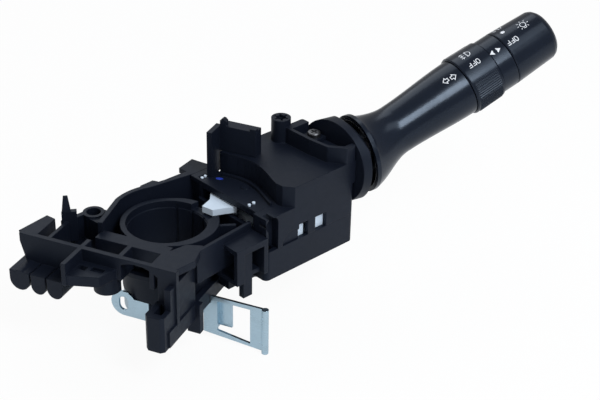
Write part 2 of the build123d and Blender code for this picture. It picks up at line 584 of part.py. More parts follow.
def cover_pins():
    """White heat stakes that hold the plate down."""
    pins = []
    for h, p, z in ((2.6, -13.8, LOW_TOP - 0.7), (4.9, -14.2, LOW_TOP - 0.7), (1.6, 20.6, LOW_TOP), (4.4, 20.4, LOW_TOP)):
        pins.append(rod(0.75, (z, z + 0.8), in_case(PLATE_H + h, p)))
    return pins


def guide_tower():
    """The upright guide at the housing's near edge, with its side wing and prongs."""
    x, y = TOWER_X, TOWER_Y
    plate = block(x, y, (COVER_TOP, TOWER_TOP))
    plate -= block((x[0] + 2.2, x[1] - 2.2), (y[0] + 2.0, y[1] + 1), (COVER_TOP + 2.4, TOWER_TOP - 2.0))
    for offset_x in (6.4, 12.4):
        plate += block((x[0] + offset_x, x[0] + offset_x + 1.4), (y[0] + 1, y[1]), (COVER_TOP, TOWER_TOP))
    wing = block((x[0] - 2.6, x[0]), (37.0, y[1]), (WALL_TOP, TOWER_TOP - 0.4))
    wing = chamfer(wing.edges().filter_by(Axis.X).sort_by(Axis.Z)[-1], 4.0)
    prong = block((x[0] + 0.2, x[0] + 3.4), (y[0], y[0] + 2.4), (TOWER_TOP - 1, TOWER_TOP + 3.6))
    prong = chamfer(prong.edges().filter_by(Axis.Y).group_by(Axis.Z)[-1], 1.1)
    ear = block((x[1] - 3.0, x[1]), (y[0], y[0] + 2.4), (TOWER_TOP - 1, TOWER_TOP + 1.2))
    return plate + wing + prong + ear


def connector_shroud():
    """The harness socket on the housing's far side, open away from the bore."""
    q0, depth, wall = CASE_Q[1], SHROUD_DEPTH, 1.6
    h, z = SHROUD_H, SHROUD_Z
    shell = HOUSING * block((h[0] + 0.1, h[1] - 0.1), (q0 - COVER_WALL, q0 + depth), (z[0] + 0.1, z[1] - 0.1))
    shell -= HOUSING * block((h[0] + wall, h[1] - wall), (q0 + 0.6, q0 + depth + 1), (z[0] + wall, z[1] - wall))
    for n in range(TERMINALS):
        at = h[0] + wall + TERMINAL_PITCH * (n + 0.75)
        shell -= HOUSING * block((at - 0.42, at + 0.42), (q0 - 5, q0 + 2), (TERMINAL_Z - 0.42, TERMINAL_Z + 0.42))
    return shell


TERMINALS = 8
TERMINAL_PITCH = 2.5
TERMINAL_Z = -14.6


def terminal_pins():
    pins = []
    q0 = CASE_Q[1]
    for n in range(TERMINALS):
        at = SHROUD_H[0] + 1.6 + TERMINAL_PITCH * (n + 0.75)
        pin = HOUSING * block((at - 0.4, at + 0.4), (q0 - 6.0, q0 + 8.0), (TERMINAL_Z - 0.4, TERMINAL_Z + 0.4))
        drop = HOUSING * block((at - 0.4, at + 0.4), (q0 - 6.0, q0 - 5.2), (BOARD_Z + BOARD_T, TERMINAL_Z + 0.4))
        pins.append(pin + drop)
    return pins


def contact_board():
    board = case_block((NEAR_H + BOARD_IN, FAR_H - BOARD_IN), (-CASE_Q[1] + BOARD_IN, FRONT_P - BOARD_IN),
                       (BOARD_Z, BOARD_Z + BOARD_T))
    board -= PIVOT * rod(TRUNNION_R + 2.8, (-30, 0))
    for h, p in CASE_SCREWS + BRACKET_SCREWS:
        board -= rod(SCREW_R + 2.7, (-30, 0), in_case(h, p))
    return board


def board_rests():
    """Ribs on the tray's floor that the contact board lies on."""
    ribs = None
    for p in (-4.8, 24.0):
        rib = case_block((NEAR_H + 10.0, FAR_H - 10.0), (p, p + 1.4), (CASE_BOTTOM + 1, BOARD_Z))
        ribs = rib if ribs is None else ribs + rib
    return ribs


def board_contacts():
    """Fixed contact tracks on the board, under the sliders."""
    top = BOARD_Z + BOARD_T
    return [case_block((FAR_H - 26.0, FAR_H - 10.0), (27.6, 28.8), (top, top + 0.3)),
            case_block((FAR_H - 26.0, FAR_H - 10.0), (29.8, 31.0), (top, top + 0.3)),
            case_block((NEAR_H + 19.0, NEAR_H + 26.0), (28.4, 29.6), (top, top + 0.3))]


def case_screws():
    """The four screws that come up through the tray into the cover."""
    screws = []
    for h, p in CASE_SCREWS:
        x, y = in_case(h, p)
        screws.append(Pos(x, y, CASE_BOTTOM + SCREW_HEAD_H) * Rot(180, 0, 0) * screw(19.0))
    return screws


def bracket_screws():
    """The three screws that hold the switch case on the bracket's shelf."""
    screws = []
    for h, p in BRACKET_SCREWS:
        x, y = in_case(h, p)
        screws.append(Pos(x, y, CASE_BOTTOM - SHELF_T) * Rot(180, 0, 0) * screw(SHELF_T + 4.0))
    return screws


def slider_contact():
    """A sprung copper bridge under the turn slider, on the board's tracks."""
    low, high = BOARD_Z + BOARD_T + 0.35, BOARD_Z + BOARD_T + 0.8
    return case_block((TURN_SLIDE_H - 3.0, TURN_SLIDE_H + 3.0), (27.4, 31.2), (low, high))


def dimmer_contact():
    """A copper blade on the dimmer slider's foot."""
    low = BOARD_Z + BOARD_T + 1.4
    return case_block((DIM_SLIDE_H[0] + 2.0, DIM_SLIDE_H[1] - 2.0), (27.4, 31.2), (low, low + 1.2))


def pawl_spring():
    """The leaf spring behind the pawl's hub, its stem standing on the detent cam."""
    h = (PAWL_PIVOT_H + PAWL_PIN_R + 1.9, PAWL_PIVOT_H + PAWL_PIN_R + 2.3)
    leaf = case_block(h, (-6.0, 9.0), (1.6, 4.0))
    return leaf + case_block(h, (2.4, 6.0), (CAM_TOP, 1.7))


# Turn yoke and lever

def turn_yoke():
    """The block that swings with the lever: trunnions above and below, a slot for the arm."""
    w, d = YOKE_SIZE
    body = block((-w / 2, w / 2), (-d / 2, d / 2), YOKE_Z)
    body = chamfer(body.edges().filter_by(Axis.Z), 2.0)
    body -= block((-w, w), (-ARM_W / 2 - 0.3, ARM_W / 2 + 0.3), YOKE_SLOT_Z)
    body += rod(TRUNNION_R, (YOKE_Z[0] - 7.0, YOKE_Z[0] + 1)) + rod(TRUNNION_R, (YOKE_Z[1] - 1, YOKE_Z[1] + 3.4))
    body += block((-1.8, 1.8), (-TURN_PIN_OUT, -d / 2 + 1), (TURN_PIN_Z[1] - 3.0, TURN_PIN_Z[1]))
    body += rod(TURN_PIN_R, TURN_PIN_Z, (0, -TURN_PIN_OUT))
    body -= Pos(0, 0, PIVOT_Z) * Rot(90, 0, 0) * Cylinder(DIMMER_PIN_R, d + 2)
    return PIVOT * body


def dimmer_pin():
    return PIVOT * (Pos(0, 0, PIVOT_Z) * Rot(90, 0, 0) * Cylinder(DIMMER_PIN_R, YOKE_SIZE[1]))


def lever_arm():
    """The arm inside the housing: hub on the dimmer pin, plunger socket, tail for the rod."""
    hub = Rot(90, 0, 0) * Cylinder(5.6, ARM_W)
    neck = block((0, 16.0), (-ARM_W / 2, ARM_W / 2), (-4.5, 4.5))
    tail = Rot(0, 90, 0) * rod(ARM_TAIL_R, (14.2, PIVOT_BACK - 2.0))
    nose = Rot(0, 90, 0) * rod(4.4, (-20.0, 0))
    body = hub + neck + tail + nose
    body -= Rot(90, 0, 0) * Cylinder(DIMMER_PIN_R + RUNNING_CLEAR, ARM_W + 2)
    body -= Rot(0, 90, 0) * rod(PLUNGER_R + RUNNING_CLEAR, (-22.0, -8.0))
    body -= Rot(0, 90, 0) * rod(ROD_R, (16.0, PIVOT_BACK))
    pin = Pos(DIM_PIN_X, 0, 0) * Rot(90, 0, 0) * rod(DIM_PIN_R, (3.3, DIM_PIN_OUT))
    return ARM * (body + pin)


def detent_plunger():
    tip = Pos(-PLUNGER_TIP + PLUNGER_R, 0, 0) * Sphere(PLUNGER_R)
    stem = Rot(0, 90, 0) * rod(PLUNGER_R, (-PLUNGER_TIP + PLUNGER_R, -13.4))
    return ARM * (tip + stem)


def plunger_spring():
    """A compression spring in the arm's socket behind the plunger."""
    path = Helix(pitch=1.2, height=3.6, radius=PLUNGER_R - 0.65)
    section = Plane(origin=path @ 0, z_dir=path % 0) * Circle(0.3)
    coil = sweep(section, path=path)
    return ARM * (Pos(-12.0, 0, 0) * Rot(0, 90, 0) * coil)


def detent_cam():
    """The fixed cam: a ball-shaped hollow round the lever's pivot, and the seat of the pawl's pin."""
    body = PIVOT * block((-PLUNGER_TIP - 3.5, -PLUNGER_TIP + 5.0), (-8.0, 8.0), (BOARD_Z + BOARD_T, CAM_TOP))
    seat = in_case(PAWL_PIVOT_H, PAWL_PIVOT_P)
    body += rod(PAWL_PIN_R + 1.8, (BOARD_Z + BOARD_T, CAM_TOP), seat)
    body -= rod(PAWL_PIN_R, (CAM_TOP - 4.0, CAM_TOP + 1), seat)
    return body - PIVOT * (Pos(0, 0, PIVOT_Z) * Sphere(PLUNGER_TIP + 0.35))


def trumpet(rim_at, rim_radius, sections):
    """A loft from a circle on the tilted rim to circles square to the lever's axis."""
    faces = [STALK * Pos(FLARE_REACH, 0, FLARE_Z) * Rot(0, 90 - RIM_RISE, 0) * Pos(0, 0, rim_at) * Circle(rim_radius)]
    for along, radius in sections:
        faces.append(LEVER * Pos(0, 0, along) * Circle(radius))
    return loft(faces)


def lever_body():
    """The trumpet-shaped lever shell: wide hollow rim, narrow neck, slow taper out to the ring."""
    rim = STALK * Pos(FLARE_REACH, 0, FLARE_Z) * Rot(0, 90 - RIM_RISE, 0)
    body = trumpet(0, FLARE_R, [(8.0, 15.6), (14.0, 13.4), (NECK_AT, NECK_R)])
    body += rim * rod(FLARE_R, (-RIM_LIP, 0))
    body -= trumpet(-RIM_LIP - 0.6, FLARE_R - RIM_WALL, [(7.0, 13.4), (12.0, 11.2), (17.0, 9.8)])
    side = Spline((NECK_R, 0, NECK_AT), (12.6, 0, 29.0), (13.3, 0, 40.0), (LEVER_END_R, 0, LEVER_LENGTH))
    ends = Polyline((LEVER_END_R, 0, LEVER_LENGTH), (0, 0, LEVER_LENGTH), (0, 0, NECK_AT), (NECK_R, 0, NECK_AT))
    body += LEVER * revolve(make_face([side, ends]), Axis.Z)
    return body - LEVER * rod(ROD_R, (-10, LEVER_LENGTH + 1))


def lever_rod():
    """The bar down the lever's middle that the ring and the knob turn on."""
    span = (16.0 - PIVOT_BACK, KNOB_START + KNOB_LENGTH - 5.0)
    body = rod(ROD_R, span)
    body -= rod(ROD_BORE_R, (span[0] + 4.0, span[1] + 1))
    return LEVER * body


RING_START = LEVER_LENGTH + END_GAP
SLEEVE_START = RING_START + RING_LENGTH + END_GAP
KNOB_START = SLEEVE_START + SLEEVE_LENGTH + END_GAP


def fog_ring():
    """The turning ring with fine axial ribs over its far half."""
    a, b = RING_START, RING_START + RING_LENGTH
    hub = ROD_R + RUNNING_CLEAR
    body = turned([(hub, a), (RING_R - 0.5, a), (RING_R, a + 0.6), (RING_R - 0.3, b), (RING_R - 3.0, b),
                   (RING_R - 3.0, b - 5.0), (hub + 2.0, b - 5.0), (hub + 2.0, b), (hub, b)])
    return LEVER * body


def index_sleeve():
    a, b = SLEEVE_START, SLEEVE_START + SLEEVE_LENGTH
    body = turned([(ROD_R, a), (SLEEVE_R - 0.3, a), (SLEEVE_R, a + 0.4), (SLEEVE_R, b - 0.3), (SLEEVE_R - 0.3, b),
                   (ROD_R, b)])
    for turn in (0, 180):
        body -= Rot(0, 0, turn) * Pos(10.4, 0, b - 2.5) * Cylinder(1.6, 5.2)
    return LEVER * body


def detent_balls():
    balls = []
    b = SLEEVE_START + SLEEVE_LENGTH
    for turn in (0, 180):
        balls.append(LEVER * Rot(0, 0, turn) * Pos(10.4, 0, b - 1.5) * Sphere(1.45))
    return balls


def detent_springs():
    springs = []
    b = SLEEVE_START + SLEEVE_LENGTH
    path = Helix(pitch=0.7, height=1.6, radius=1.05)
    section = Plane(origin=path @ 0, z_dir=path % 0) * Circle(0.22)
    coil = sweep(section, path=path)
    for turn in (0, 180):
        springs.append(LEVER * Rot(0, 0, turn) * Pos(10.4, 0, b - 4.85) * coil)
    return springs


def end_knob():
    """The turning end knob: a cup with a crowned end on a hub over the rod."""
    a = KNOB_START
    b = a + KNOB_LENGTH
    hub = ROD_R + RUNNING_CLEAR
    body = turned([(hub, a), (KNOB_R - 0.4, a), (KNOB_R, a + 0.5), (KNOB_END_R, b - 3.4), (KNOB_END_R - 0.6, b - 1.8),
                   (KNOB_END_R - 1.8, b - 0.5), (KNOB_END_R - 3.8, b + 0.5), (KNOB_END_R - 7.0, b + 1.4), (0, b + 2.0),
                   (0, b - 4.0), (hub, b - 4.0)])
    groove = turned([(hub + 3.0, a + 6), (KNOB_R - 2.8, a + 6), (KNOB_END_R - 2.6, b - 6), (hub + 3.0, b - 6)])
    return LEVER * (body - groove)


def contact_discs():
    """Rotary contact plates fixed on the rod inside the ring."""
    b = RING_START + RING_LENGTH
    return [LEVER * tube(RING_R - 3.5, ROD_R + 2.4, (b - 2.2, b - 1.2))]


def ring_wiper():
    b = RING_START + RING_LENGTH
    return LEVER * (block((9.0, 11.0), (-1.5, 1.5), (b - 5.0, b - 2.5)))


# Collar, sliders, pawl

def lip_distance():
    """From the lever's pivot to the top of the flare's inner lip, the nearest that swings past the collar."""
    lean, inner = math.radians(RIM_RISE), FLARE_R - RIM_WALL
    along = FLARE_REACH - PIVOT_REACH - RIM_LIP * math.cos(lean) - inner * math.sin(lean)
    up = FLARE_Z - PIVOT_Z - RIM_LIP * math.sin(lean) + inner * math.cos(lean)
    return math.hypot(along, up)


def collar_ring():
    """The hood round the lever's root, cut to sit on the housing's end, with its seat plate."""
    ring = STALK * Pos(0, 0, COLLAR_Z) * Rot(0, 90, 0) * tube(COLLAR_R, COLLAR_R - COLLAR_WALL, COLLAR_REACH)
    seat = STALK * Pos(0, 0, COLLAR_Z) * Rot(0, 90, 0) * rod(COLLAR_R - 1.0, COLLAR_REACH)
    seat &= HOUSING * block((CASE_H[1], CASE_H[1] + COLLAR_SEAT_T), (-60, 60), (-20, 60))
    body = ring + seat
    body -= HOUSING * block((0, CASE_H[1]), (-80, 80), (-30, 60))
    body -= lever_window()
    body &= PIVOT * Pos(0, 0, PIVOT_Z) * Sphere(lip_distance() - COLLAR_CLEAR)
    p, z = COLLAR_SCREW_P, (RECESS_FLOOR, RECESS_FLOOR + COLLAR_FOOT_T)
    body += case_block((CASE_H[1] - COLLAR_SCREW_IN - 4.4, CASE_H[1] + 1), (p - 4.4, p + 4.4), z)
    return body - collar_screw_place() * rod(SCREW_R, (-10, 1))


def collar_screw():
    return collar_screw_place() * screw(5.6)


def cancel_pawl():
    """The white pawl whose tip reaches towards the bore below the lower cover."""
    outline = [(PAWL_TIP_H, 1.2), (PAWL_TIP_H + 1.2, 7.2), (25.6, 9.2), (31.0, 12.0), (33.6, 10.0), (37.4, 5.4),
               (38.8, 1.5), (37.4, -1.6), (33.8, -6.4), (32.6, -8.0), (26.2, -1.2)]
    body = plan(outline, PAWL_Z)
    pivot = in_case(PAWL_PIVOT_H, PAWL_PIVOT_P)
    body += rod(PAWL_PIN_R + 1.6, (PAWL_Z[0] - 0.6, PAWL_Z[1]), pivot)
    return body - rod(PAWL_PIN_R + RUNNING_CLEAR, (-10, 10), pivot)


def pawl_pin():
    pivot = in_case(PAWL_PIVOT_H, PAWL_PIVOT_P)
    return rod(PAWL_PIN_R, (CAM_TOP - 4.0, LOW_TOP - PLATE_T), pivot)


def turn_slider():
    """White slider moved along the front wall by the yoke's pin, seen through its window."""
    z = (BOARD_Z + BOARD_T + 0.8, TURN_PIN_Z[1] - 3.6)
    h = (TURN_SLIDE_H - TURN_SLIDE_HALF, TURN_SLIDE_H + TURN_SLIDE_HALF)
    body = case_block(h, (26.4, SLIDE_OUT_P), z)
    body += case_block(h, (SLIDE_OUT_P - 0.9, SLIDE_OUT_P), (z[0], -2.2))
    slot = case_block((TURN_SLIDE_H - TURN_PIN_R - 0.08, TURN_SLIDE_H + TURN_PIN_R + 0.08), (20.0, 32.1),
                      (TURN_PIN_Z[0] - 0.5, 0))
    return body - slot


def turn_slide_h():
    """How far along the housing the yoke's pin stands at rest."""
    lean = math.radians(HOUSING_TURN - STALK_TURN)
    return PIVOT_REACH * math.cos(lean) - TURN_PIN_OUT * math.sin(lean)


SLIDE_OUT_P = 33.2
TURN_SLIDE_H = turn_slide_h()
TURN_SLIDE_HALF = 5.0
DIM_SLIDE_H = (45.2, TURN_SLIDE_H - TURN_SLIDE_HALF - 2.8)


def dimmer_slider():
    """White slider moved up and down by the arm's pin, between two jaws."""
    lean = math.radians(LEVER_RISE)
    middle = PIVOT_Z + DIM_PIN_X * math.sin(lean)
    h = DIM_SLIDE_H
    body = case_block(h, (25.2, SLIDE_OUT_P), (BOARD_Z + BOARD_T + 2.6, -1.6))
    jaw = DIM_PIN_R + 0.08
    return body - case_block((h[0] - 1, h[1] + 1), (20.0, 32.3), (middle - jaw, middle + jaw))


def write(name, shape):
    shapes = shape if isinstance(shape, list) else [shape]
    solids = []
    for item in shapes:
        solids.extend(item.solids())
    export_step(Compound(children=solids), f"parts/{name}.step")


PARTS = {
    "bracket_frame": bracket_frame,
    "clamp_band": clamp_band,
    "switch_case": lambda: switch_case() + board_rests(),
    "switch_cover": switch_cover,
    "lower_cover": lower_cover,
    "cover_pins": cover_pins,
    "guide_tower": guide_tower,
    "connector_shroud": connector_shroud,
    "terminal_pins": terminal_pins,
    "contact_board": contact_board,
    "board_contacts": board_contacts,
    "turn_yoke": turn_yoke,
    "dimmer_pin": dimmer_pin,
    "lever_arm": lever_arm,
    "detent_plunger": detent_plunger,
    "plunger_spring": plunger_spring,
    "detent_cam": detent_cam,
    "lever_body": lever_body,
    "lever_rod": lever_rod,
    "fog_ring": fog_ring,
    "index_sleeve": index_sleeve,
    "detent_balls": detent_balls,
    "detent_springs": detent_springs,
    "end_knob": end_knob,
    "contact_discs": contact_discs,
    "ring_wiper": ring_wiper,
    "collar_ring": collar_ring,
    "collar_screw": collar_screw,
    "cancel_pawl": cancel_pawl,
    "pawl_pin": pawl_pin,
    "pawl_spring": pawl_spring,
    "turn_slider": turn_slider,
    "slider_contact": slider_contact,
    "dimmer_slider": dimmer_slider,
    "dimmer_contact": dimmer_contact,
    "case_screws": case_screws,
    "bracket_screws": bracket_screws,
}


def main():
    os.makedirs("parts", exist_ok=True)
    for name, make in PARTS.items():
        write(name, make())


main()
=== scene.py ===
"""Dresses the combination stalk switch: finishes, printed marks, grip ribs, studio and camera."""

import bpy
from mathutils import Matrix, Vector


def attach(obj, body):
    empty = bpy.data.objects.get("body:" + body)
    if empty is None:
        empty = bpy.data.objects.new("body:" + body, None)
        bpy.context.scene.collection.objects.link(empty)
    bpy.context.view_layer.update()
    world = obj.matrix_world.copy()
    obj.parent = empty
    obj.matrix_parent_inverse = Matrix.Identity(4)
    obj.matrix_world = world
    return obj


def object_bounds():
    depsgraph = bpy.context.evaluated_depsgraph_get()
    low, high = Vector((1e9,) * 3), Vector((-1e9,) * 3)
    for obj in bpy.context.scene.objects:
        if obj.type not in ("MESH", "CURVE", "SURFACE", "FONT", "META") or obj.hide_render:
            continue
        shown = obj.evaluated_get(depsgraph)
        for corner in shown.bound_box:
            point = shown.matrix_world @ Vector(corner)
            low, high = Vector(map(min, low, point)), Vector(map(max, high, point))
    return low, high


bl_info = {
    "name": "Combination Stalk Switch",
    "version": (1, 0, 0),
    "blender": (4, 5, 0),
    "location": "3D View > Sidebar > Stalk Switch",
    "description": "Finishes, marks and studio for a steering column stalk switch",
    "category": "Object",
}

import math

import bpy
import numpy as np
from mathutils import Matrix

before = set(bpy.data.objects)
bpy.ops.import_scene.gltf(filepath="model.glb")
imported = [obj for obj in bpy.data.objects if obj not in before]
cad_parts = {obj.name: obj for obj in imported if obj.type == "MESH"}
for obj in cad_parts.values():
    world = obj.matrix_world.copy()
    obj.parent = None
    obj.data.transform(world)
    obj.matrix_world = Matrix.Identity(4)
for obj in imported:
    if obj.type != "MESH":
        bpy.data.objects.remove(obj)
CAD_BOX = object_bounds()
MM = 0.001

# The lever's line, as the part's source has it: it starts at the flare, in a vertical plane through
# the bore's axis, and rises.
STALK_TURN = math.radians(53.0)
LEVER_RISE = math.radians(21.5)
FLARE_REACH = 101.8
FLARE_HEIGHT = 13.5
FLARE = np.array([FLARE_REACH * math.cos(STALK_TURN), FLARE_REACH * math.sin(STALK_TURN), FLARE_HEIGHT]) * MM
# Unit vectors along the lever, out of its top and towards the driver's side
ALONG = np.array([math.cos(LEVER_RISE) * math.cos(STALK_TURN), math.cos(LEVER_RISE) * math.sin(STALK_TURN),
                  math.sin(LEVER_RISE)])
OVER = np.array([-math.sin(LEVER_RISE) * math.cos(STALK_TURN), -math.sin(LEVER_RISE) * math.sin(STALK_TURN),
                 math.cos(LEVER_RISE)])
SIDE = np.array([math.sin(STALK_TURN), -math.cos(STALK_TURN), 0.0])
# Distance along the lever and its outer radius there, in millimetres: body, ring, sleeve, joint, knob
LEVER_PROFILE = np.array([
    [22.0, 12.4], [29.0, 12.6], [40.0, 13.3], [45.7, 13.71], [51.4, 14.05], [55.2, 14.21], [60.0, 14.3],
    [60.3, 14.8], [60.9, 15.3], [76.7, 15.0],
    [77.0, 14.2], [86.2, 14.2],
    [86.5, 13.8],
    [87.0, 14.2], [109.7, 13.2],
])

# The housing's own direction, seen from above
HOUSING_TURN = math.radians(66.5)

# The grip ribs on the turning ring, in millimetres along the lever
GRIP_START, GRIP_END = 61.3, 75.9
GRIP_FADE = 0.5
GRIP_ROWS = 6
GRIP_MIDDLES = (math.radians(96), math.radians(276))
GRIP_HALF = math.radians(38)
STEPS_PER_RIB = 8
RIB_FADE = 0.7
RIB_FOOT = 0.12 * MM
GRIP_SINK = 0.05 * MM

# Where each mark stands: millimetres along the lever, degrees from its top towards the driver's side
MARK_PLACES = {
    "knob_off": (91.0, 31.4),
    "knob_lamp": (101.3, 11.7),
    "knob_dot": (90.9, 0.8),
    "knob_side_lamp": (91.2, -24.0),
    "ring_off": (67.7, 28.8),
    "ring_fog": (67.8, 1.7),
    "index_to_knob": (82.1, 30.4),
    "index_to_ring": (78.8, 30.3),
    "turn_arrow_left": (51.4, 25.3),
    "turn_arrow_right": (55.3, 26.9),
}
PRINT_LIFT = 0.05 * MM
# The symbols' strokes, as shares of the letters' stroke
LAMP_STROKE, SMALL_STROKE, WAVE_STROKE = 0.85, 0.8, 0.75

# Letters: steps round an O, and their measures as shares of their height or width
O_STEPS = 24
LETTER_WIDTH = 0.62
LETTER_GAP = 0.28
ROUNDNESS = 0.8
SHORT_BAR = 0.85
SHORT_BAR_LEVEL = 0.02

# Symbols, in millimetres: X runs towards the housing, Y towards the driver's side
MARK_STEP = 0.5
LAMP_RADIUS = 1.5
LAMP_RAYS = (-90, -45, 0, 45, 135, 180, 225)
RAY_START, RAY_END = 2.3, 3.2
LAMP_FOOT = ((-0.75, 1.5), (0.75, 1.5), (0.65, 2.4), (-0.65, 2.4))
FOG_FLAT = -0.45
FOG_HALF = (2.1, 1.9)
FOG_POINTS, WAVE_POINTS = 16, 19
BEAM_START, BEAM_END, BEAM_PITCH = 0.9, 3.0, 1.45
WAVE_MIDDLE, WAVE_SWING, WAVE_HALF, WAVE_RATE = 1.95, 0.25, 2.3, 2.8
ARROW = ((-1.25, -0.75), (0.0, -0.75), (0.0, -1.7), (1.7, 0.0), (0.0, 1.7), (0.0, 0.75), (-1.25, 0.75))
ARROW_STEP = 0.6
TRIANGLE = ((-1.6, 0.0), (0.75, -1.4), (0.75, 1.4))
DOT_HALF = (1.12, 1.0)

# The blue dot: its middle along, across and above the housing, its half sizes, height and sink
PAINT_PLACE = (37.5, -7.6, 8.5)
PAINT_HALF = (1.7 * MM, 1.25 * MM)
PAINT_HEIGHT = 0.12 * MM
PAINT_SINK = 0.01 * MM
PAINT_RINGS, PAINT_SPOKES = 7, 29

# The view, from matching points of the photograph: the bore's middle has a pixel and a distance (mm)
PHOTO_SIZE = (600.0, 400.0)
FOCAL_PX = 1351.0
SENSOR_WIDTH = 36.0
CAMERA_ELEVATION = math.radians(30.0)
CAMERA_TURN = math.radians(-22.5)
CAMERA_ROLL = math.radians(1.3)
BORE_PIXEL = (167.0, 228.0)
BORE_DISTANCE = 608.0

# The studio, in metres and watts
FLOOR_MIDDLE = (0.05, 0.06)
FLOOR_RADIUS = 2.4
FLOOR_RISE = 0.004
FLOOR_GAP = 0.0004
FLOOR_RINGS, FLOOR_SPOKES = 25, 65
FLOOR_GREY = (0.86, 0.87, 0.88, 1.0)
WHITE = (1.0, 1.0, 1.0, 1.0)
FLOOR_GLOW_SEEN, FLOOR_GLOW_MIRRORED = 0.94, 0.3
WORLD_LEVEL, WORLD_MIRRORED = 0.44, 0.46
HOUSING_SPOT, LEVER_SPOT, KNOB_SPOT = (0.04, 0.05, 0.0), (0.087, 0.114, 0.03), (0.1145, 0.152, 0.048)
LAMP_TINT = (0.92, 0.96, 1.0)
# Name, place, what it points at, size and power
LAMPS = (
    ("key_softbox", (0.66, -0.30, 0.74), LEVER_SPOT, (0.46, 0.28), 6.4),
    ("knob_panel", (0.27, 0.08, 0.36), KNOB_SPOT, (0.16, 0.22), 0.20),
    ("back_softbox", (-0.50, 0.62, 0.85), HOUSING_SPOT, (0.9, 0.6), 2.8),
)

# Outputs of the shader nodes that have several
CAMERA_RAY, GLOSSY_RAY, OBJECT_PLACE, MIXED_COLOUR = 0, 3, 3, 2

# The cool tint of the black plastics' sheen
COOL_SHEEN = (0.7, 0.83, 1.0, 1.0)


# Sizes and colours that a user would change

class SwitchSizes(bpy.types.PropertyGroup):
    rib_height: bpy.props.FloatProperty(
        name="Grip Rib Height", description="How far the ring's fine ribs stand out",
        default=0.34 * MM, min=0.05 * MM, max=0.5 * MM, precision=5, unit="LENGTH")
    rib_pitch: bpy.props.FloatProperty(
        name="Grip Rib Pitch", description="Angle from one grip rib to the next",
        default=math.radians(4.4), min=math.radians(2.0), max=math.radians(8.0), subtype="ANGLE")
    stroke: bpy.props.FloatProperty(
        name="Print Stroke", description="Width of the printed symbols' lines",
        default=0.38 * MM, min=0.2 * MM, max=0.8 * MM, precision=5, unit="LENGTH")
    letter_height: bpy.props.FloatProperty(
        name="Letter Height", description="Height of the printed letters",
        default=2.6 * MM, min=1.5 * MM, max=4.0 * MM, precision=5, unit="LENGTH")


class SwitchColours(bpy.types.PropertyGroup):
    bracket_black: bpy.props.FloatVectorProperty(
        name="Bracket Black", description="Moulded bracket and housing", subtype="COLOR", size=3,
        default=(0.0055, 0.0076, 0.0145), min=0.0, max=1.0)
    lever_black: bpy.props.FloatVectorProperty(
        name="Lever Black", description="Lever, ring and knob", subtype="COLOR", size=3,
        default=(0.0042, 0.0066, 0.0135), min=0.0, max=1.0)
    nylon_white: bpy.props.FloatVectorProperty(
        name="Nylon White", description="Pawl, sliders and stakes", subtype="COLOR", size=3,
        default=(0.64, 0.745, 0.87), min=0.0, max=1.0)
    zinc: bpy.props.FloatVectorProperty(
        name="Zinc Plate", description="Clamp band", subtype="COLOR", size=3,
        default=(0.46, 0.61, 0.71), min=0.0, max=1.0)
    print_white: bpy.props.FloatVectorProperty(
        name="Print White", description="Symbols printed on the lever", subtype="COLOR", size=3,
        default=(0.80, 0.83, 0.88), min=0.0, max=1.0)
    paint_blue: bpy.props.FloatVectorProperty(
        name="Paint Blue", description="Inspection dot on the lower cover", subtype="COLOR", size=3,
        default=(0.02, 0.05, 0.42), min=0.0, max=1.0)


SIZE_NAMES = ("rib_height", "rib_pitch", "stroke", "letter_height")
COLOUR_NAMES = ("bracket_black", "lever_black", "nylon_white", "zinc", "print_white", "paint_blue")


def sizes():
    return bpy.context.scene.switch_sizes


def colours():
    return bpy.context.scene.switch_colours


# Shader maths

class Socket:
    """A shader socket that Python's operators extend with Math nodes."""

    def __init__(self, graph, out):
        self.graph, self.out = graph, out

    def _math(self, operation, a, b):
        return self.graph.add("ShaderNodeMath", {"operation": operation}, {0: a, 1: b})

    def __add__(self, other):
        return self._math("ADD", self, other)

    def __radd__(self, other):
        return self._math("ADD", other, self)

    def __sub__(self, other):
        return self._math("SUBTRACT", self, other)

    def __mul__(self, other):
        return self._math("MULTIPLY", self, other)

    def at_least(self, other):
        return self._math("MAXIMUM", self, other)


class Graph:
    """The node tree of one material or world."""

    def __init__(self, tree):
        self.tree = tree
        tree.nodes.clear()

    def add(self, kind, settings=None, inputs=None, out=0):
        """Adds a node: its settings first, then the values or links of its sockets."""
        node = self.tree.nodes.new(kind)
        for key, value in (settings or {}).items():
            setattr(node, key, value)
        for key, value in (inputs or {}).items():
            if isinstance(value, Socket):
                self.tree.links.new(value.out, node.inputs[key])
            else:
                node.inputs[key].default_value = value
        return Socket(self, node.outputs[out]) if len(node.outputs) else None

    def place(self):
        """Object coordinates, in metres."""
        return self.add("ShaderNodeTexCoord", out=OBJECT_PLACE)

    def noise(self, scale, detail, roughness=0.5):
        """Noise on Object coordinates, in features per metre."""
        return self.add("ShaderNodeTexNoise", None, {"Vector": self.place(), "Scale": scale, "Detail": detail,
                                                     "Roughness": roughness})

    def mix(self, factor, a, b):
        """Blends two colours."""
        return self.add("ShaderNodeMix", {"data_type": "RGBA"}, {0: factor, 6: a, 7: b}, out=MIXED_COLOUR)

    def bump(self, strength, distance, height, edge=None):
        """A bump over edges that are rounded by a radius, if it is given. Lengths are in metres."""
        inputs = {"Strength": strength, "Distance": distance, "Height": height}
        if edge:
            inputs["Normal"] = self.add("ShaderNodeBevel", {"samples": 4}, {"Radius": edge})
        return self.add("ShaderNodeBump", None, inputs)

    def surface(self, **sockets):
        """The Principled surface and the output. Spaces in the sockets' names are written as _."""
        inputs = {key.replace("_", " "): value for key, value in sockets.items()}
        shader = self.add("ShaderNodeBsdfPrincipled", None, inputs)
        self.add("ShaderNodeOutputMaterial", None, {"Surface": shader})


def rgba(colour, factor=1.0):
    return (colour[0] * factor, colour[1] * factor, colour[2] * factor, 1.0)


